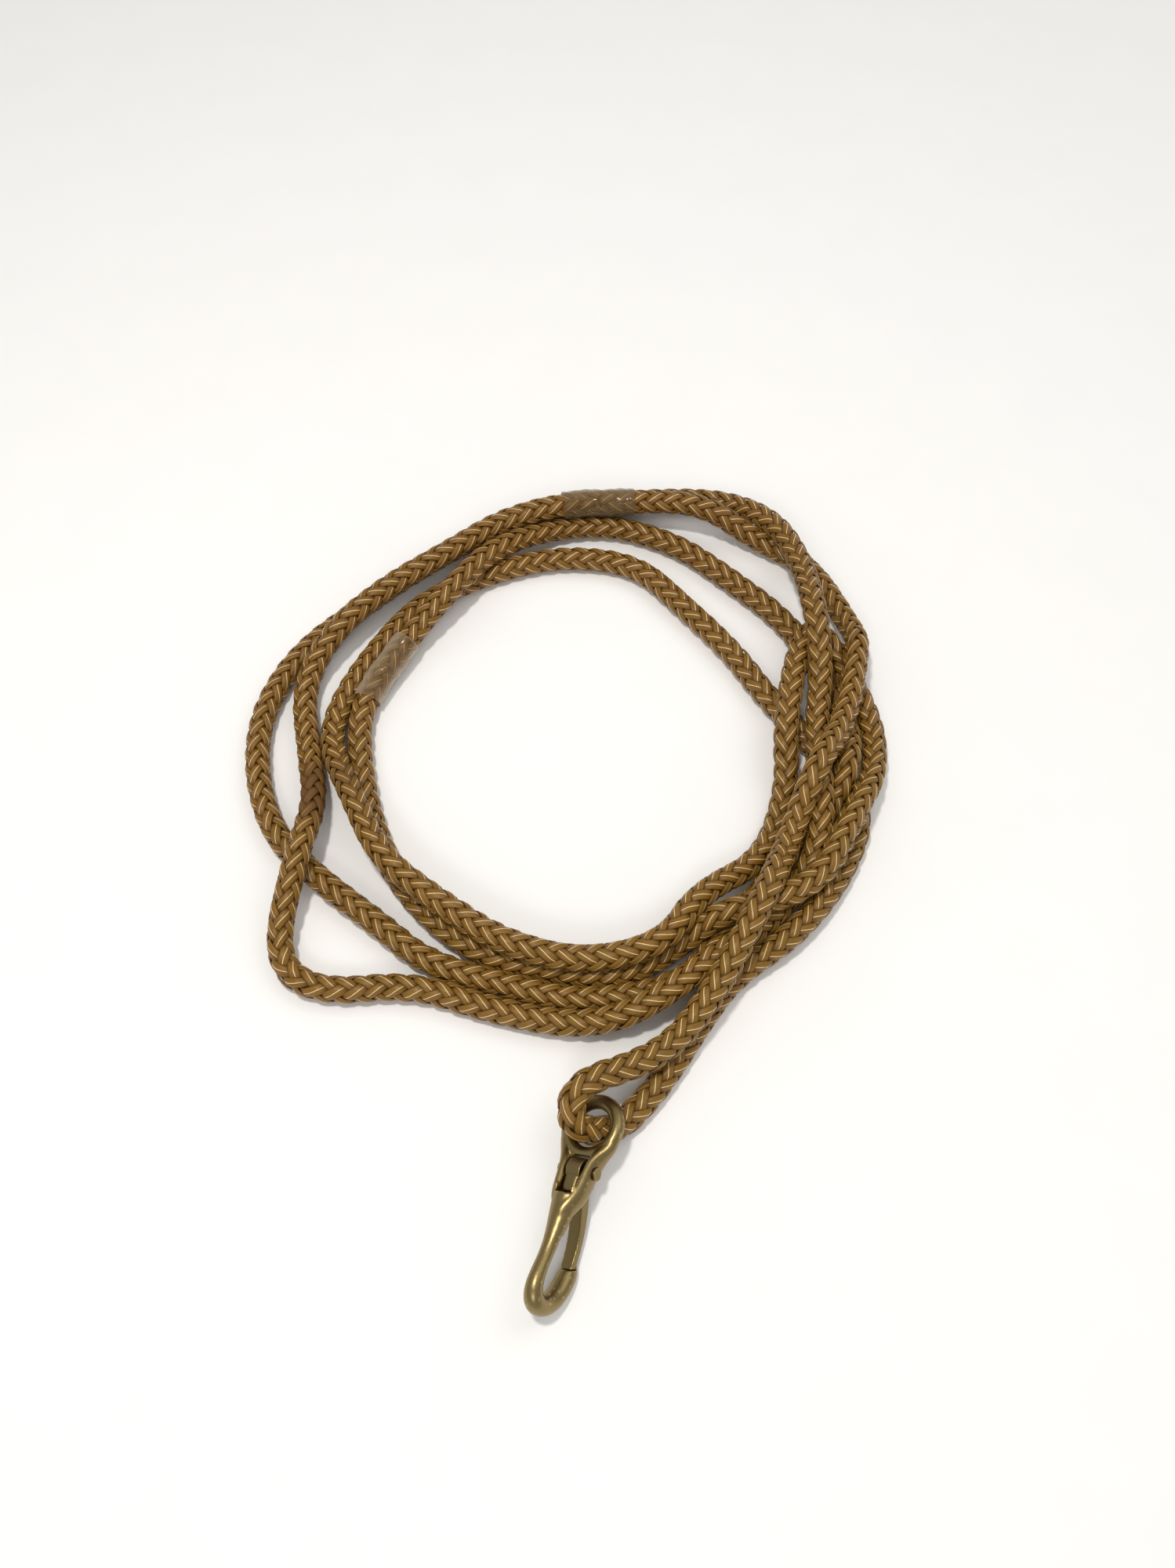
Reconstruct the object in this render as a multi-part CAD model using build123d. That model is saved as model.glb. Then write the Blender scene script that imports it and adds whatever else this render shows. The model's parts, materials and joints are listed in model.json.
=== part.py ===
from build123d import *
import math
import os

# A round braided cord lanyard: one closed loop of cord, wound up and laid on a table, with a
# cast snap hook that lies over on its side. Millimetres, +Z up, the table at Z = 0.
# Origin: bottom centre of the snap hook's own box. +Y runs along the hook, from bend to eye.
#
# The hook is modelled in its own axes and then laid down: u across it from its back to its
# nose, v along it from bend to eye, w along the gate's pin.

# ---- driving dimensions ---------------------------------------------------------------
lie_angle = 60.0              # roll of the hook about Y as it lies

eye_bore_radius = 4.0
eye_wire_radius = 1.5
eye_v = 34.6                  # middle of the eye, above the middle of the bend
bend_wire_half_width = 2.2    # of the hook's wire at the bend, along w

slot_width = 3.5              # between the cheeks
slot_floor_v = 20.4           # top of the solid back
slot_top_clearance = 0.35     # knuckle to the slot's top
gate_side_clearance = 0.15    # each side, in the slot
knuckle_radius = 2.5
gate_thickness_at_tip = 1.5
gate_thickness_mid = 1.9
gate_width_at_tip = 2.4
gate_tip_u = 10.8             # outer face of the gate, at its tip
gate_tip_v = 8.8
nose_gap = 0.15               # tip to the nose's seat, gate shut
seat_gap = 0.12               # tip's end to the floor of the seat

pin_radius = 0.9
pin_head_radius = 1.3
pin_head_height = 0.35
pin_u = 4.1
pin_v = 25.7
knuckle_running_clearance = 0.05

spring_wire_diameter = 0.42
spring_turns = 3
spring_clearance = 0.12       # to the pin, and to the pocket's wall
spring_leg_length = 1.6

cord_diameter = 6.0
coil_height = 13.0            # two crossings deep
sleeve_length = 18.0
sleeve_wall = 0.75

eye_radius = eye_bore_radius + eye_wire_radius
eye_u = 4.6
eye_w = -0.35
gate_width = slot_width - 2 * gate_side_clearance
slot_top_v = pin_v + knuckle_radius + slot_top_clearance
cord_radius = cord_diameter / 2

# The cord's two tails between coil and eye: the corners of its route, as it lies.
tail_route = [
    (35.5, 86.5, 3.5), (28.5, 69.0, 6.0), (20.5, 56.0, 3.0), (18.0, 41.0, 5.0),
    (14.0, 30.0, 4.0), (9.5, 22.5, 3.0), (4.5, 17.0, 3.0), (-1.0, 13.5, 7.0),
    (-4.5, 14.0, 10.5), (-5.5, 18.5, 12.5), (-2.5, 23.0, 12.0), (3.0, 27.5, 10.0),
    (9.0, 34.0, 8.0), (13.5, 42.5, 8.5), (17.0, 54.5, 11.5), (20.5, 73.0, 12.5),
]

# Outlines of the wound cord, seen from above: outside, and round the open middle.
coil_outside = [
    (-109, 88), (-104, 110), (-93, 130), (-81, 145), (-70, 158), (-56, 168), (-38, 179),
    (-19, 186), (-2, 180), (12, 167), (24, 152), (33, 134), (39.5, 112), (38.5, 88),
    (31, 68), (19, 51), (4, 38), (-10, 31.5), (-29, 29.5), (-46, 30), (-62, 22.5),
    (-76, 23), (-82, 36), (-85, 52), (-94, 58), (-104, 70),
]
coil_inside = [
    (-76, 97), (-74, 112), (-69, 126), (-60, 138), (-48, 146.5), (-34, 150), (-20, 143.5),
    (-6, 133.5), (6, 122), (12.5, 108), (13.5, 90), (7, 74), (-3, 60), (-15, 52),
    (-31, 49.5), (-47, 54), (-60, 60.5), (-70, 71), (-75, 84),
]

# Middle of each sleeve and the cord's direction there.
sleeve_places = {
    "sleeve_top": ((-47.5, 167.0, 9.0), (-16.0, -6.5, 0.5)),
    "sleeve_side": ((-81.5, 104.5, 5.0), (-4.0, -18.0, -1.5)),
}


# ---- helpers --------------------------------------------------------------------------
def loft_along(stations):
    """Loft through ellipses that face along the line of stations.

    A station is (u, v, w, half width in the hook's plane, half width along the pin).
    """
    centres = [Vector(*station[:3]) for station in stations]
    sections = []
    for i, (u, v, w, in_plane, along_pin) in enumerate(stations):
        after = centres[min(i + 1, len(centres) - 1)]
        before = centres[max(i - 1, 0)]
        along = (after - before).normalized()
        side = Vector(0, 0, 1) - along * along.Z
        plane = Plane(origin=(u, v, w), x_dir=side, z_dir=along)
        sections.append(plane * Ellipse(along_pin, in_plane))
    return loft(sections)


def disc_at_pin(radius, length):
    return Pos(pin_u, pin_v, 0) * Cylinder(radius, length)


def lay_down(shape):
    """From the hook's own axes to the way it lies on the table."""
    return Pos(*lying_shift) * Rot(0, lie_angle, 0) * shape


# ---- snap hook body: back, bend and nose, eye, two cheeks --------------------------------
back_bend_and_nose = loft_along([
    (2.6, 22.0, 0.0, 2.4, 2.9),
    (2.6, 18.0, 0.0, 2.2, 2.55),
    (2.5, 13.5, 0.0, 1.75, 1.9),
    (2.1, 9.5, 0.0, 1.4, 1.5),
    (1.5, 5.6, 0.0, 1.45, 1.55),
    (1.7, 2.3, 0.0, 1.7, 1.8),
    (4.0, 0.2, 0.0, 1.9, bend_wire_half_width - 0.1),
    (7.0, 0.8, 0.0, 1.9, bend_wire_half_width),
    (9.2, 3.2, 0.1, 1.9, bend_wire_half_width),
    (10.4, 6.2, 0.2, 1.9, bend_wire_half_width - 0.1),
    (gate_tip_u, gate_tip_v + 0.1, 0.3, 1.45, 1.6),
])
nose_tip = Pos(gate_tip_u, gate_tip_v, 0.3) * Sphere(1.45)
eye = Pos(eye_u, eye_v, eye_w) * Rot(0, 90, 0) * Torus(eye_radius, eye_wire_radius)

cheek_offset = slot_width / 2
near_cheek = loft_along([
    (eye_u, eye_v - 2.0, eye_w + 5.25, 1.45, 1.45),
    (eye_u, 30.2, cheek_offset + 2.4, 1.75, 1.4),
    (4.4, 27.5, cheek_offset + 1.25, 2.3, 1.25),
    (4.0, 24.2, cheek_offset + 0.85, 2.4, 1.2),
    (3.3, slot_floor_v + 0.1, 2.0, 2.3, 1.5),
    (2.6, 15.5, 0.5, 1.8, 1.5),
])
far_cheek = loft_along([
    (eye_u, eye_v - 2.2, eye_w - 5.15, 1.4, 1.4),
    (4.5, 29.8, -cheek_offset - 2.85, 1.6, 1.3),
    (4.2, 26.8, -cheek_offset - 1.65, 2.2, 1.15),
    (3.5, 23.0, -cheek_offset - 0.85, 2.3, 1.15),
    (2.7, 19.0, -1.5, 1.9, 1.3),
])

slot_length = slot_top_v - slot_floor_v
gate_slot = Pos(4.0, slot_floor_v + slot_length / 2, 0) * Box(16, slot_length, slot_width)
# a flat on the inside of the back, where the open gate comes to lie
gate_rest_depth = 4.6
gate_rest = Pos(6.0, slot_floor_v - gate_rest_depth / 2, 0) * Box(4, gate_rest_depth, slot_width)
# the nose's seat: its floor is an arc about the pin, so the tip swings clear of it
tip_swing_radius = math.hypot(gate_tip_u - pin_u, pin_v - gate_tip_v)
seat_side = 8.0
seat_block = Pos(gate_tip_u + nose_gap - seat_side / 2, gate_tip_v, 0) * Box(seat_side, seat_side, seat_side)
nose_seat = seat_block & disc_at_pin(tip_swing_radius + seat_gap, seat_side)

cheek_outside = slot_width / 2 + 2.3
head_seats = [
    Pos(pin_u, pin_v, side * (cheek_outside + 2)) * Cylinder(pin_head_radius, 4)
    for side in (1, -1)
]
body = back_bend_and_nose + nose_tip + eye + near_cheek + far_cheek
body = body - gate_slot - gate_rest - nose_seat - disc_at_pin(pin_radius, 20)
for seat in head_seats:
    body = body - seat

# ---- gate: a bar with a knuckle round the pin ---------------------------------------------
half_width = gate_width / 2
with BuildPart() as gate_side_view:
    with BuildSketch():
        with BuildLine():
            outer_top = (pin_u + knuckle_radius * 0.90, pin_v - knuckle_radius * 0.43)
            outer_mid = (10.1, 16.5)
            outer_tip = (gate_tip_u, gate_tip_v - 1)
            inner_tip = (gate_tip_u - gate_thickness_at_tip, gate_tip_v - 1)
            inner_mid = (outer_mid[0] - gate_thickness_mid, 16.5)
            inner_top = (pin_u - knuckle_radius * 0.70, pin_v - knuckle_radius * 0.71)
            ThreePointArc(outer_top, outer_mid, outer_tip)
            Line(outer_tip, inner_tip)
            ThreePointArc(inner_tip, inner_mid, inner_top)
            Line(inner_top, outer_top)
        make_face()
        with Locations((pin_u, pin_v)):
            Circle(knuckle_radius)
    extrude(amount=half_width, both=True)
tip_middle_w = 0.3
gate_plan = make_face(Plane.YZ * Polyline(
    (pin_v + 4, -half_width), (pin_v - 4, -half_width),
    (gate_tip_v - 2, tip_middle_w - gate_width_at_tip / 2),
    (gate_tip_v - 2, tip_middle_w + gate_width_at_tip / 2),
    (pin_v - 4, half_width), (pin_v + 4, half_width), close=True))
gate = gate_side_view.part & extrude(gate_plan, 20, both=True) & disc_at_pin(tip_swing_radius, 10)
gate = gate - disc_at_pin(pin_radius + knuckle_running_clearance, 10)

spring_mean_radius = pin_radius + knuckle_running_clearance + spring_clearance + spring_wire_diameter / 2
spring_outside = spring_mean_radius + spring_wire_diameter / 2
spring_pitch = spring_wire_diameter * 1.12
spring_length = spring_pitch * spring_turns
pocket_length = spring_length + spring_wire_diameter + 2 * spring_clearance
gate = gate - disc_at_pin(spring_outside + spring_clearance, pocket_length)

# ---- pin, with a low head at each end ------------------------------------------------------
pin = disc_at_pin(pin_radius, 2 * cheek_outside)
for side in (1, -1):
    head = Pos(pin_u, pin_v, side * (cheek_outside + pin_head_height / 2))
    pin = pin + head * Cylinder(pin_head_radius, pin_head_height)

# ---- torsion spring in the knuckle; its leg bears on the gate -------------------------------
helix = Helix(spring_pitch, spring_length, spring_mean_radius)
wire = Circle(spring_wire_diameter / 2)
coils = sweep(Plane(origin=helix @ 0, z_dir=helix % 0) * wire, path=helix, is_frenet=True)
leg_start = helix @ 0
leg_plane = Plane(origin=leg_start, z_dir=-(helix % 0))
leg = extrude(leg_plane * wire, spring_leg_length)
spring = Pos(pin_u, pin_v, -spring_length / 2) * (coils + leg)
gate = gate - spring

# ---- lay the hook down, its box centred on the origin --------------------------------------
rolled = (Rot(0, lie_angle, 0) * body).bounding_box()
lying_shift = (-rolled.center().X, -rolled.center().Y, -rolled.min.Z)
nodes = {
    "snap_body": lay_down(body),
    "gate": lay_down(gate),
    "gate_pin": lay_down(pin),
    "gate_spring": lay_down(spring),
}

# ---- cord: the sleeves, the wound part, and the tails that pass through the eye -------------
for name, (middle, direction) in sleeve_places.items():
    place = Plane(origin=middle, z_dir=direction)
    tube = Cylinder(cord_radius + sleeve_wall, sleeve_length) - Cylinder(cord_radius, sleeve_length)
    nodes[name] = place * tube

outside = make_face(Spline(*coil_outside, periodic=True))
inside = make_face(Spline(*coil_inside, periodic=True))
coil = extrude(outside - inside, coil_height)
for name in sleeve_places:
    coil = coil - nodes[name]
nodes["cord_coil"] = coil

corners = [Vector(*point) for point in tail_route]
radii = []
for before, corner, after in zip(corners, corners[1:], corners[2:]):
    turn = (corner - before).get_angle(after - corner)
    shorter = min((corner - before).length, (after - corner).length)
    radii.append(0.45 * shorter / math.tan(math.radians(turn / 2)))
tail_path = FilletPolyline(*corners, radius=radii)
print("tail arc radii", [round(radius, 1) for radius in radii])
tail_end = Plane(origin=tail_path @ 0, z_dir=tail_path % 0)
tail = sweep(tail_end * Circle(cord_radius), path=tail_path)
section = math.pi * cord_radius ** 2
print("tail volume / (section x length)", round(tail.volume / (section * tail_path.length), 4))
# the tails start where they leave the wound part
free = (tail - coil).solids().sort_by(SortBy.VOLUME)[-1]
nodes["cord_tails"] = free

os.makedirs("parts", exist_ok=True)
for name, shape in nodes.items():
    shape.label = name
    export_step(shape, f"parts/{name}.step")
    box = shape.bounding_box()
    print(name, len(shape.solids()), round(shape.volume, 2), box.min, box.max)
print("gate pivot", lay_down(Pos(pin_u, pin_v, 0) * Sphere(0.1)).center())
print("eye centre", lay_down(Pos(eye_u, eye_v, eye_w) * Sphere(0.1)).center())
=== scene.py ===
"""A round braided cord lanyard, loosely wound on a table, with its cast brass snap hook.

Lengths are in metres. The cords are braided here strand by strand along their routes, the
hook's castings are smoothed from the frame, and the two clear sleeves are shrunk on the joins.
"""
import json
import math

import bpy
import numpy as np
from mathutils import Matrix, Vector


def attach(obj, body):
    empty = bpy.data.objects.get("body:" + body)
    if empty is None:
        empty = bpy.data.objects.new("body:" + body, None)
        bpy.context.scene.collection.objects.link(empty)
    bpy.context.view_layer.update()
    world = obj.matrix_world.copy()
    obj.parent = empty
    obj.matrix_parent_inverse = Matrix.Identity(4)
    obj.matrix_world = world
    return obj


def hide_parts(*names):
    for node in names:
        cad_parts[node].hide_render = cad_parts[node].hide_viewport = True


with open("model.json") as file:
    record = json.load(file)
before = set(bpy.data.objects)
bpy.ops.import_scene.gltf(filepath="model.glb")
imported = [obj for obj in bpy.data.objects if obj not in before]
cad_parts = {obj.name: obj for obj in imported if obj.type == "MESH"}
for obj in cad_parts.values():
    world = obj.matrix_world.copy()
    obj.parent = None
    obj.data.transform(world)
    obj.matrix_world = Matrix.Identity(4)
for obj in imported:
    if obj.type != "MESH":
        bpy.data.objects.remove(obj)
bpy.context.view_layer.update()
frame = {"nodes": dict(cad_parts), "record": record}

bl_info = {
    "name": "Braided cord lanyard",
    "version": (1, 0, 0),
    "blender": (4, 5, 0),
    "location": "View3D > Sidebar > Lanyard",
    "description": "Builds a braided cord lanyard with a cast snap hook around its frame",
    "category": "Add Mesh",
}

MM = 0.001
BODY = "lanyard"
GATE_BODY = "gate"

# The route of each cord, in millimetres in the row frame: a clamped quadratic line's control
# points. The first cord runs from the top sleeve to the side sleeve, the second from the side
# sleeve round the coil, through the hook's eye and back to the top sleeve.
FIRST_ROUTE = [
    # top of the coil, down its left side to the lower left corner
    (-47.5, 167.0, 9.0), (-55.5, 164.0, 9.5), (-69.0, 154.5, 9.0), (-79.0, 139.5, 9.0),
    (-88.5, 126.5, 9.0), (-96.0, 110.0, 9.5), (-99.5, 95.0, 3.5), (-90.5, 78.5, 3.0),
    (-82.0, 65.0, 7.0), (-79.5, 49.5, 10.5), (-77.0, 29.0, 3.0), (-65.0, 24.5, 3.0),
    # along the bottom, outside, and up the right side
    (-46.0, 33.0, 3.0), (-29.0, 32.5, 3.0), (-10.5, 34.5, 3.0), (2.0, 40.5, 7.0),
    (13.5, 56.0, 9.5), (23.0, 70.5, 3.0), (29.0, 87.0, 6.0), (27.0, 99.0, 10.5),
    (21.5, 116.0, 7.5), (18.5, 133.5, 10.5), (14.0, 144.5, 15.5), (7.0, 163.0, 10.0),
    # over the top and down the outermost left side
    (-3.5, 176.5, 8.0), (-19.0, 183.0, 3.0), (-37.0, 176.5, 3.5), (-52.5, 170.5, 3.0),
    (-67.5, 162.0, 3.0), (-78.0, 148.5, 3.0), (-88.0, 134.5, 3.0), (-96.0, 119.5, 3.0),
    (-104.0, 104.5, 3.0), (-106.0, 87.0, 3.0), (-101.0, 71.0, 3.0), (-90.0, 56.5, 3.0),
    # along the bottom again and up the right side, beneath the others
    (-76.0, 49.5, 3.0), (-58.5, 43.5, 3.0), (-45.0, 38.0, 3.0), (-24.5, 39.0, 3.0),
    (-10.5, 40.0, 3.0), (8.0, 49.5, 3.0), (14.0, 63.0, 3.0), (20.5, 81.0, 3.0),
    (29.0, 100.5, 3.0), (30.5, 109.0, 10.5), (28.5, 124.5, 3.0), (16.5, 140.0, 3.0),
    # back over the top to the side sleeve
    (6.0, 150.5, 3.0), (-11.5, 159.0, 3.0), (-26.0, 165.0, 3.0), (-44.0, 166.0, 3.0),
    (-59.5, 158.5, 3.5), (-69.0, 144.5, 8.5), (-74.0, 128.5, 9.5), (-80.0, 113.0, 5.5),
    (-81.5, 104.5, 5.0),
]
SECOND_ROUTE = [
    # side sleeve, bottom, and the bight that turns back at the right
    (-81.5, 104.5, 5.0), (-84.0, 95.0, 4.0), (-79.0, 81.0, 3.0), (-69.0, 65.0, 3.0),
    (-57.0, 53.0, 3.0), (-40.0, 44.5, 3.0), (-25.5, 44.0, 3.0), (-4.0, 47.5, 3.0),
    (7.0, 61.0, 3.0), (12.0, 67.0, 8.5), (30.5, 78.0, 10.0), (34.0, 98.0, 11.0),
    (37.0, 113.0, 5.5), (32.5, 129.5, 3.0), (15.0, 148.0, 8.0), (11.5, 140.0, 9.0),
    # inner turn, the other way round
    (14.0, 115.5, 9.5), (18.5, 103.5, 4.0), (18.0, 84.5, 3.0), (6.0, 69.5, 8.0),
    (3.0, 56.0, 9.5), (-12.0, 47.0, 8.0), (-30.0, 45.5, 9.0), (-47.0, 50.5, 8.5),
    (-62.5, 56.0, 9.0), (-74.5, 68.5, 9.0), (-87.5, 82.5, 3.0), (-89.0, 97.0, 3.0),
    (-85.0, 117.5, 3.0), (-79.5, 130.0, 3.0), (-65.5, 144.0, 3.0), (-51.5, 152.5, 3.0),
    (-33.5, 155.5, 3.0), (-18.5, 146.5, 3.0), (-3.5, 137.0, 3.0), (8.0, 126.5, 3.0),
    # out on the right, and the first tail down to the hook's eye
    (23.5, 115.5, 3.0), (36.5, 104.5, 3.0), (35.5, 86.5, 3.5), (28.8, 68.5, 5.0),
    (18.3, 55.8, 3.5), (14.0, 43.0, 3.0), (11.4, 33.0, 3.0), (8.4, 24.5, 3.0),
    (4.5, 17.0, 3.0), (-1.0, 13.5, 7.0), (-4.5, 14.0, 10.5), (-5.5, 18.5, 12.5),
    # the second tail, back up the right side
    (-2.5, 23.0, 12.0), (3.0, 27.3, 10.5), (9.3, 33.8, 9.0), (13.5, 42.5, 9.0),
    (17.0, 54.5, 11.5), (20.5, 73.0, 16.0), (22.0, 89.0, 6.5), (23.0, 103.5, 17.0),
    (27.0, 120.5, 10.0), (25.5, 142.5, 11.0), (23.0, 150.5, 5.5), (8.5, 169.0, 3.0),
    (-6.5, 172.5, 3.0), (-22.0, 174.0, 10.5), (-39.5, 170.5, 8.5), (-47.5, 167.0, 9.0),
]
SLEEVE_PLACES = {"sleeve_top": FIRST_ROUTE[0], "sleeve_side": SECOND_ROUTE[0]}
# The hook's own axes (u from back to nose, v from bend to eye, w along the gate's pin) are rolled
# by this angle about Y, to lie on the table. The gate's pin is here in them, in millimetres, and
# at its joint's place in the frame.
HOOK_ROLL = math.radians(60.0)
GATE_PIN = (4.1, 25.7, 0.0)
GATE_JOINT = next(joint["pos_m"] for joint in frame["record"]["behaviour"]["joints"]
                  if joint["name"] == "gate_hinge")
# The middle of the stained stretch, and how far from it the stain starts and ends to fade.
STAIN_PLACE = (-83.8, 66.5, 6.5)
STAIN_REACH = 0.0058
STAIN_FULL = 1.9

# The braid: tows each way, steps in one lead, and the corners of half a tow's section.
TOWS_EACH_WAY = 6
STEPS_IN_LEAD = 30
SECTION = np.radians([0, 40, 77, 90, 103, 140, 180])
SECTION_PEAK = 1.3
CREST_FLATNESS = 1.9
CORE_SIDES = 10
SLEEVE_SIDES = 48

# The gate's heel in the hook's own axes, in millimetres, and its superellipsoid's power.
HEEL_CENTRE = (3.4, 22.9, 0.0)
HEEL_HALF_AXES = (1.4, 2.0, 1.6)
HEEL_POWER = 0.45
HEEL_GRID = (41, 64)

# The stage, in millimetres, and the lights in metres: name, place, size, power, colour.
CAMERA_PLACE = (19.0, -47.3, 264.8)
CAMERA_AIM = (-26.35, 92.3, 0.0)
CAMERA_TURN = math.radians(18)
CAMERA_LENS = 39.63
LIGHTS_AIM = (-0.03, 0.09, 0.0)
LIGHTS = [
    ("key", (-0.10, 0.02, 0.60), 0.05, 1.6, (1.0, 0.96, 0.90)),
    ("fill", (0.35, 0.55, 0.80), 0.60, 1.3, (1.0, 0.98, 0.95)),
    ("front", (0.05, -0.55, 0.60), 0.20, 0.9, (1.0, 0.98, 0.96)),
]
WORLD_COLOUR = (1.0, 0.99, 0.97, 1.0)
WORLD_STRENGTH = 0.52


# ---- sizes and colours that a user would change --------------------------------------------
class CordSettings(bpy.types.PropertyGroup):
    diameter: bpy.props.FloatProperty(
        name="Cord diameter", description="Across the braid, over its floats",
        default=0.006, unit="LENGTH")
    lead: bpy.props.FloatProperty(
        name="Lead", description="Length in which one tow goes once round the cord",
        default=0.0252, unit="LENGTH")
    tow_thickness: bpy.props.FloatProperty(
        name="Tow thickness", description="Half the thickness of a flattened tow",
        default=0.00050, unit="LENGTH")
    tow_width: bpy.props.FloatProperty(
        name="Tow width", description="Half the width of a flattened tow",
        default=0.00122, unit="LENGTH")
    crown: bpy.props.FloatProperty(
        name="Crown", description="How far a tow rises and falls as it passes over and under",
        default=0.00050, unit="LENGTH")
    colour: bpy.props.FloatVectorProperty(
        name="Cord colour", description="Golden brown of the tows' crests",
        subtype="COLOR", size=3, default=(0.240, 0.121, 0.014))
    # Painted shade: the colour painted into the low parts between the tows; the core's colour
    # starts from it too.
    crevice_shade_colour: bpy.props.FloatVectorProperty(
        name="Crevice colour", description="Colour between the tows",
        subtype="COLOR", size=3, default=(0.092, 0.039, 0.004))
    # Painted highlight: the pale line painted along each tow's crest.
    painted_glint_colour: bpy.props.FloatVectorProperty(
        name="Glint colour", description="Fine pale line along the crest of each tow",
        subtype="COLOR", size=3, default=(1.0, 0.76, 0.42))
    stain_colour: bpy.props.FloatVectorProperty(
        name="Stain colour", description="The browner, rubbed stretch on the left",
        subtype="COLOR", size=3, default=(0.105, 0.043, 0.010))


class HookSettings(bpy.types.PropertyGroup):
    grain: bpy.props.FloatProperty(
        name="Mesh grain", description="Edge of the cells that the casting is remeshed with",
        default=0.00017, unit="LENGTH")
    smoothing: bpy.props.IntProperty(
        name="Smoothing passes", description="How rounded the casting's edges are", default=9)
    colour: bpy.props.FloatVectorProperty(
        name="Brass colour", description="Rubbed brass on the casting's ridges",
        subtype="COLOR", size=3, default=(0.52, 0.40, 0.18))
    tarnish: bpy.props.FloatVectorProperty(
        name="Tarnish", description="Olive brown tarnish in the hollows",
        subtype="COLOR", size=3, default=(0.15, 0.105, 0.046))


class SleeveSettings(bpy.types.PropertyGroup):
    length: bpy.props.FloatProperty(
        name="Sleeve length", description="Along the cord", default=0.0185, unit="LENGTH")
    wall: bpy.props.FloatProperty(
        name="Wall", description="Thickness of the clear tube", default=0.0003, unit="LENGTH")
    # Painted shade and reflection: the dark greenish grey that the top sleeve's film turns to
    # where it is seen edge on.
    top_edge_painted_reflection: bpy.props.FloatVectorProperty(
        name="Top sleeve's edge", description="Greenish grey of the top sleeve seen edge on",
        subtype="COLOR", size=3, default=(0.17, 0.13, 0.075))
    # Painted reflection: the milky colour that the side sleeve's film turns to where it is seen
    # edge on.
    side_edge_painted_reflection: bpy.props.FloatVectorProperty(
        name="Side sleeve's edge", description="Milky edge of the side sleeve",
        subtype="COLOR", size=3, default=(0.85, 0.74, 0.60))


# ---- shader helper ---------------------------------------------------------------------
class Socket:
    """A value in a material, so that maths on it is written as an expression."""

    def __init__(self, tree, socket):
        self.tree = tree
        self.socket = socket

    def _math(self, operation, *values):
        inputs = dict(enumerate(values))
        return self.tree.node("ShaderNodeMath", {"operation": operation}, inputs)[0]

    def __add__(self, other):
        return self._math("ADD", self, other)

    def __sub__(self, other):
        return self._math("SUBTRACT", self, other)

    def __rsub__(self, other):
        return self._math("SUBTRACT", other, self)

    def __mul__(self, other):
        return self._math("MULTIPLY", self, other)

    def __pow__(self, other):
        return self._math("POWER", self, other)

    __radd__ = __add__
    __rmul__ = __mul__

    def clamped(self):
        return self.tree.node("ShaderNodeClamp", {}, {"Value": self})[0]


class MaterialTree:
    """A material's nodes, made one call at a time."""

    def __init__(self, name):
        self.material = bpy.data.materials.new(name)
        self.material.use_nodes = True
        self.nodes = self.material.node_tree.nodes
        self.links = self.material.node_tree.links
        self.nodes.clear()

    def node(self, kind, settings, inputs):
        """Adds a node: its settings, then its sockets' values or links; gives its outputs."""
        node = self.nodes.new(kind)
        for key, value in settings.items():
            setattr(node, key, value)
        for key, value in inputs.items():
            if isinstance(value, Socket):
                self.links.new(value.socket, node.inputs[key])
            else:
                node.inputs[key].default_value = value
        return [Socket(self, output) for output in node.outputs]

    def mix(self, factor, a, b):
        return self.node("ShaderNodeMix", {"data_type": "RGBA"}, {0: factor, 6: a, 7: b})[2]

    def noise(self, vector, scale, detail=2.0, roughness=0.5):
        inputs = {"Vector": vector, "Scale": scale, "Detail": detail, "Roughness": roughness}
        return self.node("ShaderNodeTexNoise", {}, inputs)[0]

    def stretched(self, vector, scale):
        return self.node("ShaderNodeMapping", {}, {"Vector": vector, "Scale": scale})[0]

    def attribute(self, name):
        return self.node("ShaderNodeAttribute", {"attribute_name": name}, {})[2]

    def coordinates(self, output):
        sockets = self.node("ShaderNodeTexCoord", {}, {})
        return sockets[{"Object": 3, "UV": 2}[output]]

    def bump(self, height, strength, distance):
        inputs = {"Height": height, "Strength": strength, "Distance": distance}
        return self.node("ShaderNodeBump", {}, inputs)[0]

    def finish(self, shader):
        output = self.nodes.new("ShaderNodeOutputMaterial")
        self.links.new(shader.socket, output.inputs["Surface"])
        return self.material


def rgba(colour):
    return (*colour, 1.0)


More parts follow.
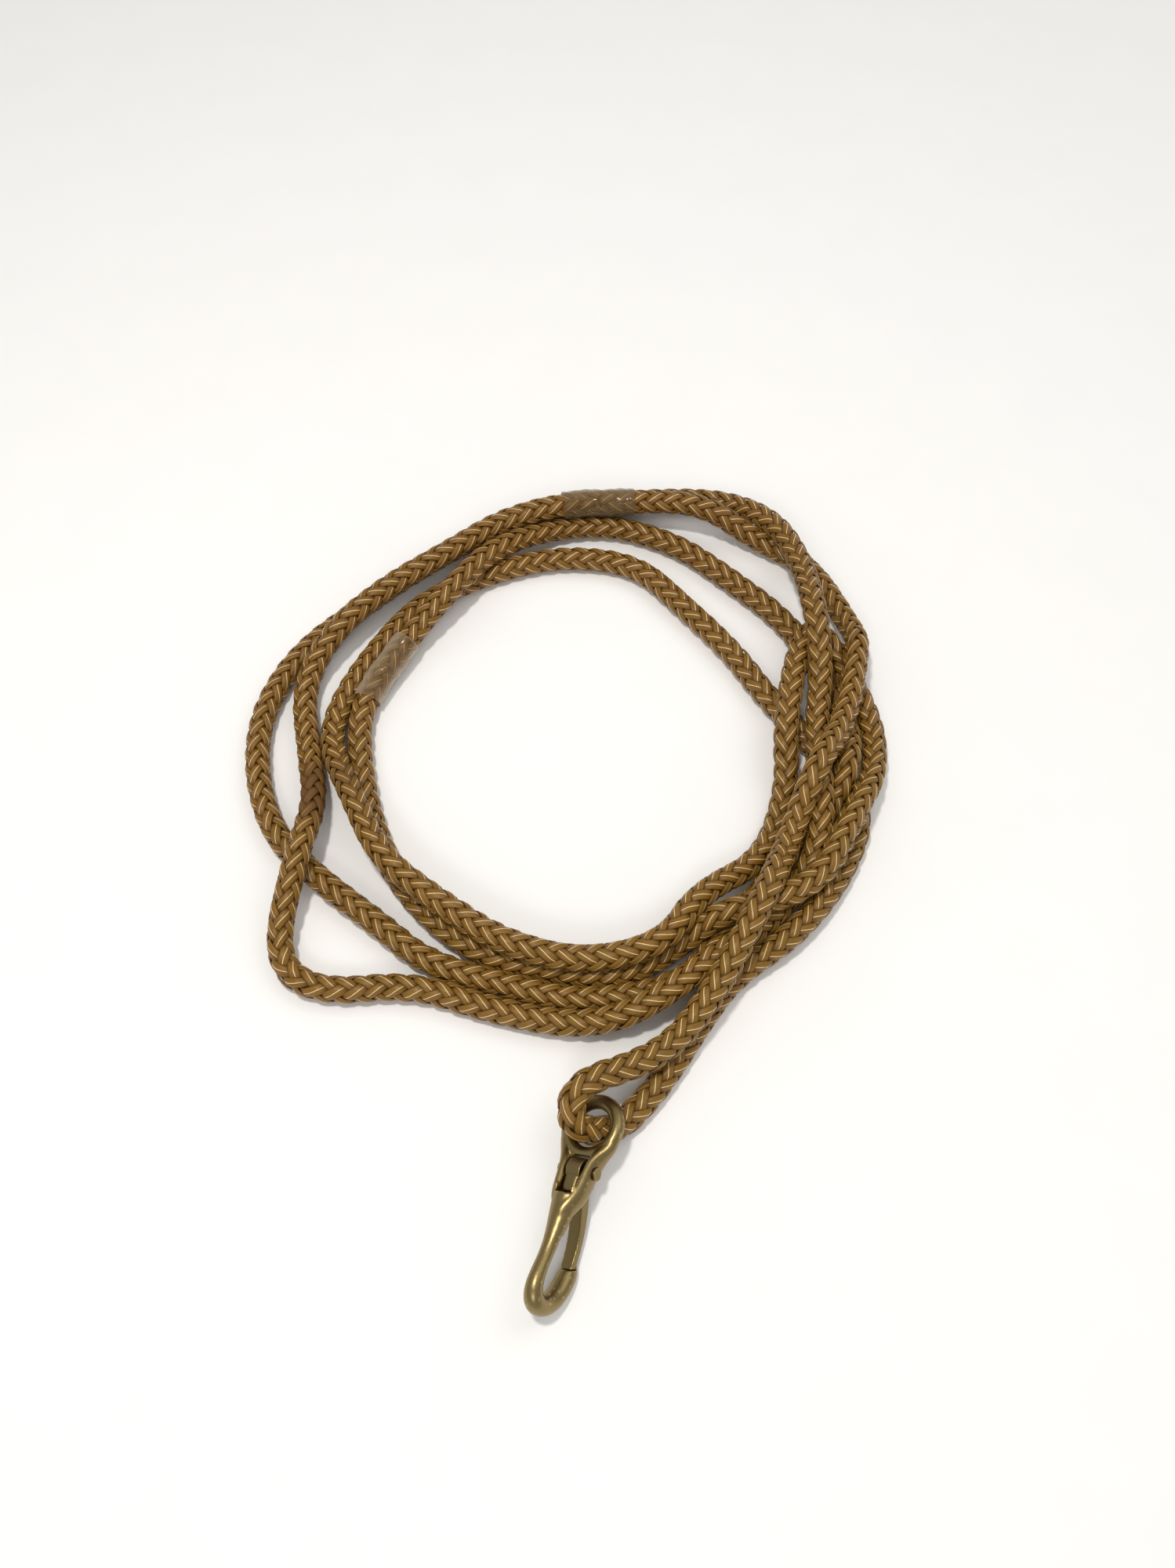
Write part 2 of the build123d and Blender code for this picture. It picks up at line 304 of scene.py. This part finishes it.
def cord_material(settings):
    """Glossy filament tows: fine lengthwise filaments, painted shade in the crevices, a painted
    highlight along each tow's crest, slow shifts of colour.
    """
    tree = MaterialTree("braided_cord")
    uv = tree.coordinates("UV")
    place = tree.coordinates("Object")
    rise = tree.attribute("rise")
    stain = tree.attribute("stain")
    filaments = tree.noise(tree.stretched(uv, (26.0, 700.0, 1.0)), 1.0, 3.0, 0.6)
    drift = tree.noise(place, 38.0, 2.0)
    blotch = tree.noise(place, 420.0, 3.0)
    # How high each point stands on its tow; it drives the painted crevice shade, the threads and
    # the roughness.
    crest = (rise ** 1.5).clamped()
    drifted_colour = tree.mix((drift * 2.2 - 0.6).clamped(), rgba(settings.colour),
                     (0.215, 0.120, 0.015, 1.0))
    # Browner towards the top left, that is towards +Y and -X, with drift noise on the edge of the
    # change.
    across, along = tree.node("ShaderNodeSeparateXYZ", {}, {"Vector": place})[:2]
    browner = (along * 5.0 - across * 3.5 - 0.35 + drift * 0.5).clamped()
    browner_to_top_left = tree.mix(browner * 0.75, drifted_colour, (0.190, 0.083, 0.010, 1.0))
    worn = tree.mix(stain, browner_to_top_left, rgba(settings.stain_colour))
    toned = tree.mix((blotch * 0.9 - 0.2).clamped(), worn, (0.175, 0.080, 0.012, 1.0))
    # Painted shade: the low parts of each tow are darkened towards the crevice shade colour.
    painted_crevice_shade = tree.mix(crest, rgba(settings.crevice_shade_colour), toned)
    threads = tree.mix((filaments * 0.5).clamped(), painted_crevice_shade, (0.33, 0.175, 0.040, 1.0))
    thready = tree.mix(crest * 0.45, painted_crevice_shade, threads)
    strands = tree.noise(tree.stretched(uv, (40.0, 60.0, 1.0)), 1.0, 2.0)
    # Painted highlight: a pale line along each tow's crest, stronger where the tow passes over,
    # broken by noise and left off the stain.
    painted_glint = (tree.attribute("painted_glint") * 1.6 - 0.5).clamped() * (strands * 3.0 - 0.55).clamped()
    colour = tree.mix(painted_glint * (1.0 - stain * 0.95), thready, rgba(settings.painted_glint_colour))
    roughness = filaments * 0.10 + 0.24 + stain * 0.25 + (1 - crest) * 0.30
    normal = tree.bump(filaments, 0.35, 0.00006)
    shader = tree.node("ShaderNodeBsdfPrincipled", {}, {
        "Base Color": colour, "Roughness": roughness.clamped(), "Normal": normal,
        "Specular IOR Level": 0.28})[0]
    return tree.finish(shader)


def core_material(settings):
    """Heart of the cord, seen only between the tows, in painted shade: the crevice shade colour
    and darker.
    """
    tree = MaterialTree("cord_core")
    grain = tree.noise(tree.coordinates("Object"), 900.0, 2.0)
    # Painted shade: the core takes the crevice shade colour and darker.
    colour = tree.mix(grain, rgba(settings.crevice_shade_colour), (0.05, 0.02, 0.006, 1.0))
    shader = tree.node("ShaderNodeBsdfPrincipled", {}, {
        "Base Color": colour, "Roughness": 0.85})[0]
    return tree.finish(shader)


def brass_material(settings, name, rubbed, pits):
    """Old cast brass: rubbed bright on the ridges, olive tarnish, fine scratches and cast pits."""
    tree = MaterialTree(name)
    place = tree.coordinates("Object")
    clouds = tree.noise(place, 260.0, 5.0, 0.65)
    skin = tree.noise(place, 1500.0, 4.0, 0.6)
    scratches = tree.noise(tree.stretched(place, (5200.0, 320.0, 5200.0)), 1.0, 2.0)
    ridge = tree.node("ShaderNodeNewGeometry", {}, {})[7]
    edge = ((ridge - 0.5) * 7.0 + 0.35 + clouds * 0.5 - 0.25).clamped()
    holes = tree.node("ShaderNodeTexVoronoi", {"feature": "F1"}, {
        "Vector": place, "Scale": 900.0})[0]
    pit = (1.0 - holes * 5.0).clamped() * ((clouds - 0.52) * 9.0).clamped()
    base = tree.mix((edge * rubbed).clamped(), rgba(settings.tarnish), rgba(settings.colour))
    cloudy = tree.mix((clouds * 1.6 - 0.5).clamped(), base, (0.20, 0.145, 0.055, 1.0))
    colour = tree.mix(pit * pits, cloudy, (0.05, 0.035, 0.02, 1.0))
    roughness = 0.16 + (1.0 - edge) * 0.14 + skin * 0.12 + clouds * 0.08
    height = skin * 0.5 + scratches * 0.25 + clouds * 1.2 - pit * 1.5
    normal = tree.bump(height, 0.5, 0.00007)
    shader = tree.node("ShaderNodeBsdfPrincipled", {}, {
        "Base Color": colour, "Metallic": 1.0, "Roughness": roughness.clamped(),
        "Normal": normal})[0]
    return tree.finish(shader)


def spring_material():
    """Drawn spring wire, grey, with fine drawing lines and a touch of brown."""
    tree = MaterialTree("spring_wire")
    place = tree.coordinates("Object")
    lines = tree.noise(place, 2600.0, 3.0)
    rust = tree.noise(place, 500.0, 4.0)
    colour = tree.mix((rust * 3.0 - 1.4).clamped(), (0.50, 0.49, 0.47, 1.0),
                      (0.22, 0.13, 0.07, 1.0))
    shader = tree.node("ShaderNodeBsdfPrincipled", {}, {
        "Base Color": colour, "Metallic": 1.0, "Roughness": (lines * 0.3 + 0.2).clamped(),
        "Normal": tree.bump(lines, 0.3, 0.00003)})[0]
    return tree.finish(shader)


def sleeve_material(name, edge):
    """Clear shrunk tubing, slightly cloudy: the braid shows through, and where the tube is seen
    edge on its colour turns to a painted reflection and shade.
    """
    tree = MaterialTree(name)
    place = tree.coordinates("Object")
    haze = tree.noise(place, 240.0, 2.0, 0.5)
    ripple = tree.noise(place, 420.0, 1.0)
    facing = tree.node("ShaderNodeLayerWeight", {}, {"Blend": 0.35})[1]
    # Painted reflection and shade: the film's colour turns to the given edge colour where the tube
    # is seen edge on.
    film_with_painted_edges = tree.mix(facing, (0.30, 0.21, 0.10, 1.0), rgba(edge))
    gloss = tree.node("ShaderNodeBsdfPrincipled", {}, {
        "Base Color": film_with_painted_edges, "Roughness": 0.14, "Specular IOR Level": 1.0,
        "Normal": tree.bump(ripple, 0.4, 0.0001)})[0]
    clear = tree.node("ShaderNodeBsdfTransparent", {}, {"Color": (0.96, 0.93, 0.88, 1.0)})[0]
    cover = (haze * 0.35 + facing * 0.75 - 0.05).clamped()
    shader = tree.node("ShaderNodeMixShader", {}, {0: cover, 1: clear, 2: gloss})[0]
    return tree.finish(shader)


# ---- mesh helpers ------------------------------------------------------------------------
def add_mesh(name, vertices, faces, material, uv=None, attributes=None, caps=()):
    """A mesh object at the origin from whole arrays; uv is per vertex, in two columns.

    The faces are smooth, and the caps, rings of vertex numbers, are one flat face each.
    """
    mesh = bpy.data.meshes.new(name)
    mesh.from_pydata(vertices.tolist(), [], faces.tolist() + [cap.tolist() for cap in caps])
    mesh.polygons.foreach_set("use_smooth", np.arange(len(mesh.polygons)) < len(faces))
    if uv is not None:
        corners = np.empty(len(mesh.loops), np.int32)
        mesh.loops.foreach_get("vertex_index", corners)
        mesh.uv_layers.new(name="UVMap").data.foreach_set("uv", uv[corners].ravel())
    for key, values in (attributes or {}).items():
        layer = mesh.attributes.new(key, "FLOAT", "POINT")
        layer.data.foreach_set("value", values.astype(np.float32))
    mesh.materials.append(material)
    mesh.update()
    piece = bpy.data.objects.new(name, mesh)
    bpy.context.scene.collection.objects.link(piece)
    return piece


def grid_faces(rows, columns, start=0):
    """Quads of a tube of rows rings with columns points each, closed round, open at its ends.

    They face outwards where the rings turn right-handed about the way that the rows go.
    """
    row, column = np.meshgrid(np.arange(rows - 1), np.arange(columns), indexing="ij")
    beside = (column + 1) % columns
    quads = np.stack([row * columns + column, row * columns + beside,
                      (row + 1) * columns + beside, (row + 1) * columns + column], -1)
    return quads.reshape(-1, 4) + start


def end_caps(rows, columns, start=0):
    """The first and the last ring of such a tube, one face each, facing out where it does."""
    ring = np.arange(columns) + start
    return [ring[::-1], ring + (rows - 1) * columns]


def centreline(name, route):
    """The cord's line: a clamped quadratic spline on the route's points, read back as points."""
    curve = bpy.data.curves.new(name, "CURVE")
    curve.dimensions = "3D"
    curve.resolution_u = 24
    spline = curve.splines.new("NURBS")
    spline.points.add(len(route) - 1)
    points = np.column_stack([np.array(route) * MM, np.ones(len(route))])
    spline.points.foreach_set("co", points.ravel())
    spline.order_u = 3
    spline.use_endpoint_u = True
    holder = bpy.data.objects.new(name, curve)
    bpy.context.scene.collection.objects.link(holder)
    mesh = bpy.data.meshes.new_from_object(holder)
    line = np.empty(len(mesh.vertices) * 3)
    mesh.vertices.foreach_get("co", line)
    bpy.data.meshes.remove(mesh)
    bpy.data.objects.remove(holder)
    bpy.data.curves.remove(curve)
    return line.reshape(-1, 3)


def evenly(line, step):
    """The same line with points an even step apart, and the distance of each along it."""
    run = np.linalg.norm(np.diff(line, axis=0), axis=1)
    line = line[np.concatenate([[True], run > 1e-7])]
    run = run[run > 1e-7]
    distance = np.concatenate([[0], np.cumsum(run)])
    count = int(round(distance[-1] / step)) + 1
    even = np.linspace(0, distance[-1], count)
    return np.column_stack([np.interp(even, distance, line[:, k]) for k in range(3)]), even


def frames_along(line):
    """Tangent, and two unit vectors across the line that turn with it as little as they can.

    Each vector across is the one before it, less its part along the new tangent.
    """
    tangent = np.gradient(line, axis=0)
    tangent /= np.linalg.norm(tangent, axis=1)[:, None]
    across = np.empty_like(line)
    side = np.cross(tangent[0], (0, 0, 1))
    for i, direction in enumerate(tangent):
        side = side - direction * (side @ direction)
        side /= np.linalg.norm(side)
        across[i] = side
    return tangent, across, np.cross(tangent, across)


def unit(vectors):
    return vectors / np.linalg.norm(vectors, axis=-1, keepdims=True)


def signed_power(values, power):
    """The values' sizes to a power, with their signs kept."""
    return np.sign(values) * np.abs(values) ** power


# ---- pieces ------------------------------------------------------------------------------
def braided_cord(name, line, settings, material, core, seed):
    """A round braid of twelve tows, six each way, over two and under two.

    Tow i of the right-hand six stands at angle 60 i + 360 s / lead and at radius
    mean + crown wave(1080 s / lead - 45 + 180 i), in degrees, for distance s along the cord; the
    left-hand six turn the other way at mean + crown wave(1080 s / lead - 135 - 180 i). The wave
    is a cosine whose crests are flattened by a hyperbolic tangent. Each tow's
    section is a flattened oval that stands across its own line. Slow waves shift angle, radius
    and width a little, so that no two stitches are quite the same.
    """
    lead = settings.lead
    points, distance = evenly(line, lead / STEPS_IN_LEAD)
    _, across, up = frames_along(points)
    count = len(points)
    tows = 2 * TOWS_EACH_WAY
    random = np.random.default_rng(seed)
    mean = settings.diameter / 2 - settings.tow_thickness - settings.crown - 0.00002
    turn = np.tile(np.repeat([1.0, -1.0], TOWS_EACH_WAY)[:, None], (1, count))
    index = np.tile(np.arange(TOWS_EACH_WAY), 2)[:, None]
    lag = np.where(turn > 0, -math.pi / 4 + math.pi * index, -3 * math.pi / 4 - math.pi * index)
    phase = 2 * math.pi * distance / lead
    slow = random.uniform(0, 2 * math.pi, (tows, 3, 1))
    waves = sum(np.sin(phase * rate + slow[:, k]) for k, rate in enumerate((0.21, 0.53, 1.37))) / 3
    twist = 0.35 * np.sin(distance / 0.047 + seed) + 0.25 * np.sin(distance / 0.021 + 2 * seed)
    angle = math.pi / 3 * index + turn * phase + twist + 0.07 * waves
    wave = np.tanh(CREST_FLATNESS * np.cos(3 * phase + lag)) / math.tanh(CREST_FLATNESS)
    radius = mean + settings.crown * wave * (1 + 0.10 * waves)
    spoke = np.cos(angle)[..., None] * across + np.sin(angle)[..., None] * up
    middle = points + radius[..., None] * spoke
    along = unit(np.gradient(middle, axis=1))
    out = unit(spoke - along * (spoke * along).sum(-1, keepdims=True))
    side = np.cross(along, out)
    breadth = signed_power(np.cos(SECTION), SECTION_PEAK)
    swell = signed_power(np.sin(SECTION), SECTION_PEAK)
    width = settings.tow_width * (1 + 0.08 * np.roll(waves, 5, axis=0))[..., None, None]
    ring = (middle[:, :, None] + width * breadth[:, None] * side[:, :, None]
            + settings.tow_thickness * swell[:, None] * out[:, :, None])
    sections = len(SECTION)
    starts = np.arange(tows) * count * sections
    # A tow's section turns left-handed about its line, so its faces are turned round to face out.
    faces = np.concatenate([grid_faces(count, sections, start)[:, ::-1] for start in starts])
    caps = [cap[::-1] for start in starts for cap in end_caps(count, sections, start)]
    # Each point's height on its tow, kept as the rise attribute that drives the painted shade in
    # the crevices.
    height = np.linalg.norm(ring - points[None, :, None], axis=-1)
    rise = np.clip((height - mean) / (settings.crown + settings.tow_thickness), 0, 1)
    # Where the painted highlight lies: the crest corner of each tow's section, stronger where the
    # tow passes over.
    painted_glint = np.clip((wave + 0.15) * 1.6, 0, 1)[..., None] * (SECTION == math.pi / 2)
    around = np.broadcast_to(SECTION / (2 * math.pi), (tows, count, sections))
    uv = np.stack([np.broadcast_to((distance / lead)[None, :, None], around.shape), around], -1)
    stained = np.linalg.norm(points - np.array(STAIN_PLACE) * MM, axis=1)
    stain = np.clip(STAIN_FULL - stained / STAIN_REACH, 0, 1)
    stain = np.broadcast_to(stain[None, :, None], around.shape)
    piece = add_mesh(name, ring.reshape(-1, 3), faces, material, uv.reshape(-1, 2),
                     {"rise": rise.ravel(), "stain": stain.ravel(), "painted_glint": painted_glint.ravel()}, caps)
    add_core(piece, points[::4], across[::4], up[::4], mean + 0.00018, core)
    return piece, points


def add_core(piece, points, across, up, radius, material):
    """The cord's dark heart, a plain tube of ten sides inside the tows, joined to their mesh."""
    angle = np.linspace(0, 2 * math.pi, CORE_SIDES, endpoint=False)
    ring = points[:, None] + radius * (np.cos(angle)[:, None] * across[:, None]
                                       + np.sin(angle)[:, None] * up[:, None])
    heart = add_mesh("heart", ring.reshape(-1, 3), grid_faces(len(points), CORE_SIDES), material,
                     caps=end_caps(len(points), CORE_SIDES))
    with bpy.context.temp_override(active_object=piece, selected_editable_objects=[piece, heart]):
        bpy.ops.object.join()


def sleeve(name, line, settings, material):
    """Clear tube shrunk on the cord: rings round the cord's own line.

    The bore's radius is the cord's and 0.4 of the wall. The outside stands a wall further out,
    with two small waves that follow the stitches, and draws in as a square root over the last
    half millimetre at each end.
    """
    length, wall = settings.length, settings.wall
    points, distance = evenly(line, 0.0004)
    place = np.array(SLEEVE_PLACES[name]) * MM
    middle = distance[np.argmin(np.linalg.norm(points - place, axis=1))]
    kept = np.abs(distance - middle) <= length / 2
    points, distance = points[kept], distance[kept] - middle
    _, across, up = frames_along(points)
    angle = np.linspace(0, 2 * math.pi, SLEEVE_SIDES, endpoint=False)
    cord = bpy.context.scene.lanyard_cord
    clear = cord.diameter / 2 + wall * 0.4
    dents = 0.00009 * np.cos(3 * angle + 6 * math.pi * distance[:, None] / cord.lead)
    dents = dents + 0.00006 * np.sin(5 * angle - 17 * math.pi * distance[:, None] / cord.lead)
    outside = clear + wall + dents
    ends = np.clip((length / 2 - np.abs(distance)) / 0.0005, 0, 1)[:, None]
    outside = clear + (outside - clear) * (0.55 + 0.45 * np.sqrt(ends))
    inside = np.full_like(outside, clear)
    spokes = np.cos(angle)[:, None] * across[:, None] + np.sin(angle)[:, None] * up[:, None]
    shell = points[:, None] + outside[..., None] * spokes
    bore = (points[:, None] + inside[..., None] * spokes)[::-1]
    rings = np.concatenate([shell, bore, shell[:1]])
    rows = len(rings)
    faces = grid_faces(rows - 1, SLEEVE_SIDES)
    first = np.arange(SLEEVE_SIDES)
    last = first + (rows - 2) * SLEEVE_SIDES
    closing = np.stack([last, np.roll(last, -1), np.roll(first, -1), first], -1)
    vertices = rings[:-1].reshape(-1, 3)
    return add_mesh(name + "_clear", vertices, np.concatenate([faces, closing]), material)


def gate_heel():
    """The gate's heel, which fills the slot below the knuckle.

    A superellipsoid: each half axis times a power of the sines and cosines of latitude and
    longitude with their signs kept. Gives its vertices, as they lie, and its faces.
    """
    latitude = np.linspace(-math.pi / 2, math.pi / 2, HEEL_GRID[0])[:, None]
    longitude = np.linspace(0, 2 * math.pi, HEEL_GRID[1], endpoint=False)[None, :]
    round_pole = signed_power(np.cos(latitude), HEEL_POWER)
    shape = np.stack([round_pole * signed_power(np.cos(longitude), HEEL_POWER),
                      round_pole * signed_power(np.sin(longitude), HEEL_POWER),
                      signed_power(np.sin(latitude), HEEL_POWER) * np.ones_like(longitude)], -1)
    from_pin = np.array(HEEL_CENTRE) - GATE_PIN + HEEL_HALF_AXES * shape
    u, v, w = from_pin.reshape(-1, 3).T
    lying = np.stack([u * math.cos(HOOK_ROLL) + w * math.sin(HOOK_ROLL), v,
                      w * math.cos(HOOK_ROLL) - u * math.sin(HOOK_ROLL)], -1)
    return lying * MM + GATE_JOINT, grid_faces(*HEEL_GRID)


def casting(node, name, settings, material, grain_share=1.0, passes=None, added=None):
    """A CAD piece's shape with the soft edges of a casting: its copy, remeshed and smoothed.

    What is added, vertices and faces of a closed surface, becomes one with it.
    """
    piece = frame["nodes"][node].copy()
    piece.data = piece.data.copy()
    piece.name = name
    piece.parent = None
    for key in list(piece.keys()):
        del piece[key]
    bpy.context.scene.collection.objects.link(piece)
    if added is not None:
        extra = add_mesh("added", *added, material)
        with bpy.context.temp_override(active_object=piece,
                                       selected_editable_objects=[piece, extra]):
            bpy.ops.object.join()
    weld = piece.modifiers.new("weld", "WELD")
    weld.merge_threshold = 1e-6
    remesh = piece.modifiers.new("remesh", "REMESH")
    remesh.mode = "VOXEL"
    remesh.voxel_size = settings.grain * grain_share
    remesh.use_smooth_shade = True
    smooth = piece.modifiers.new("smooth", "SMOOTH")
    smooth.factor = 0.5
    smooth.iterations = settings.smoothing if passes is None else passes
    finished = piece.evaluated_get(bpy.context.evaluated_depsgraph_get())
    mesh = bpy.data.meshes.new_from_object(finished)
    old = piece.data
    piece.modifiers.clear()
    piece.data = mesh
    bpy.data.meshes.remove(old)
    mesh.name = name
    mesh.materials.clear()
    mesh.materials.append(material)
    if not len(mesh.polygons):
        raise RuntimeError(f"{name}: the remesh left nothing")
    return piece


# ---- operators ---------------------------------------------------------------------------
class LANYARD_OT_stage(bpy.types.Operator):
    """Pale table, soft studio light and the camera that looks down on the lanyard"""
    bl_idname = "lanyard.stage"
    bl_label = "Stage"

    def execute(self, context):
        scene = context.scene
        camera_data = bpy.data.cameras.new("camera")
        camera_data.sensor_fit = "HORIZONTAL"
        camera_data.sensor_width = 36.0
        camera_data.lens = CAMERA_LENS
        camera_data.clip_start = 0.01
        camera = bpy.data.objects.new("camera", camera_data)
        scene.collection.objects.link(camera)
        camera.location = Vector(CAMERA_PLACE) * MM
        target = Vector(CAMERA_AIM) * MM
        away = (target - camera.location).normalized()
        right = Vector((math.cos(CAMERA_TURN), math.sin(CAMERA_TURN), 0))
        top = right.cross(away)
        camera.rotation_euler = Matrix((right, top, -away)).transposed().to_euler()
        scene.camera = camera

        tree = MaterialTree("pale_table")
        grain = tree.noise(tree.coordinates("Object"), 60.0, 3.0)
        colour = tree.mix(grain, (0.93, 0.93, 0.93, 1.0), (0.96, 0.96, 0.96, 1.0))
        shader = tree.node("ShaderNodeBsdfPrincipled", {}, {
            "Base Color": colour, "Roughness": 0.9, "Specular IOR Level": 0.1})[0]
        corners = np.array([(-6, -6, 0), (6, -6, 0), (6, 6, 0), (-6, 6, 0)], float)
        floor = add_mesh("table", corners, np.array([(0, 1, 2, 3)]), tree.finish(shader))
        for name, place, size, power, colour in LIGHTS:
            light_data = bpy.data.lights.new(name, "AREA")
            light_data.size = size
            light_data.energy = power
            light_data.color = colour
            light = bpy.data.objects.new(name, light_data)
            scene.collection.objects.link(light)
            light.location = place
            aim = Vector(LIGHTS_AIM) - light.location
            light.rotation_euler = aim.to_track_quat("-Z", "Y").to_euler()
        world = bpy.data.worlds.new("studio")
        world.use_nodes = True
        background = world.node_tree.nodes["Background"]
        background.inputs[0].default_value = WORLD_COLOUR
        background.inputs[1].default_value = WORLD_STRENGTH
        scene.world = world
        scene.view_settings.view_transform = "Standard"
        return {"FINISHED"}


class LANYARD_OT_cords(bpy.types.Operator):
    """Both lengths of braided cord, wound as they lie, and the clear sleeves on their joins"""
    bl_idname = "lanyard.cords"
    bl_label = "Cords and sleeves"

    def execute(self, context):
        cord = context.scene.lanyard_cord
        sleeves = context.scene.lanyard_sleeve
        braid, heart = cord_material(cord), core_material(cord)
        clear = {"sleeve_top": sleeve_material("clear_sleeve_top", sleeves.top_edge_painted_reflection),
                 "sleeve_side": sleeve_material("clear_sleeve_side", sleeves.side_edge_painted_reflection)}
        lines = {"first": centreline("first_line", FIRST_ROUTE),
                 "second": centreline("second_line", SECOND_ROUTE)}
        whole = np.concatenate([lines["second"][-200:-1], lines["first"], lines["second"][1:200]])
        for name in SLEEVE_PLACES:
            tube = sleeve(name, whole, sleeves, clear[name])
            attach(tube, BODY)
            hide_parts(name)
        for seed, (name, line) in enumerate(lines.items(), 1):
            piece, points = braided_cord(f"{name}_cord", line, cord, braid, heart, seed)
            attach(piece, BODY)
            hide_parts("cord_coil", "cord_tails")
        return {"FINISHED"}


class LANYARD_OT_hook(bpy.types.Operator):
    """The cast snap hook: body, gate, pin and spring"""
    bl_idname = "lanyard.hook"
    bl_label = "Snap hook"

    def execute(self, context):
        hook = context.scene.lanyard_hook
        cast = brass_material(hook, "cast_brass", 1.0, 0.8)
        plain = brass_material(hook, "gate_brass", 0.7, 0.4)
        pieces = {
            "snap_body": casting("snap_body", "cast_hook", hook, cast),
            "gate": casting("gate", "cast_gate", hook, plain, 0.75, 6, gate_heel()),
            "gate_pin": casting("gate_pin", "riveted_pin", hook, plain, 0.5, 6),
        }
        bodies = {"snap_body": BODY, "gate": GATE_BODY, "gate_pin": BODY}
        for node, piece in pieces.items():
            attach(piece, bodies[node])
            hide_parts(node)
        spring = frame["nodes"]["gate_spring"]
        spring.data.materials.clear()
        spring.data.materials.append(spring_material())
        return {"FINISHED"}


class LANYARD_PT_panel(bpy.types.Panel):
    """Lists the lanyard's pieces and their sizes"""
    bl_idname = "LANYARD_PT_panel"
    bl_label = "Lanyard"
    bl_space_type = "VIEW_3D"
    bl_region_type = "UI"
    bl_category = "Lanyard"

    def draw(self, context):
        layout = self.layout
        for operator in OPERATORS:
            layout.operator(operator.bl_idname)
        for settings in GROUPS:
            box = layout.box()
            group = getattr(context.scene, settings)
            for key in type(group).__annotations__:
                box.prop(group, key)


OPERATORS = (LANYARD_OT_stage, LANYARD_OT_cords, LANYARD_OT_hook)
GROUPS = {"lanyard_cord": CordSettings, "lanyard_hook": HookSettings,
          "lanyard_sleeve": SleeveSettings}


def register():
    for group in GROUPS.values():
        bpy.utils.register_class(group)
    for name, group in GROUPS.items():
        setattr(bpy.types.Scene, name, bpy.props.PointerProperty(type=group))
    for operator in OPERATORS:
        bpy.utils.register_class(operator)
    bpy.utils.register_class(LANYARD_PT_panel)


def unregister():
    bpy.utils.unregister_class(LANYARD_PT_panel)
    for operator in reversed(OPERATORS):
        bpy.utils.unregister_class(operator)
    for name, group in GROUPS.items():
        delattr(bpy.types.Scene, name)
        bpy.utils.unregister_class(group)


def main():
    register()
    bpy.ops.lanyard.stage()
    bpy.ops.lanyard.cords()
    bpy.ops.lanyard.hook()


if __name__ == "__main__":
    main()
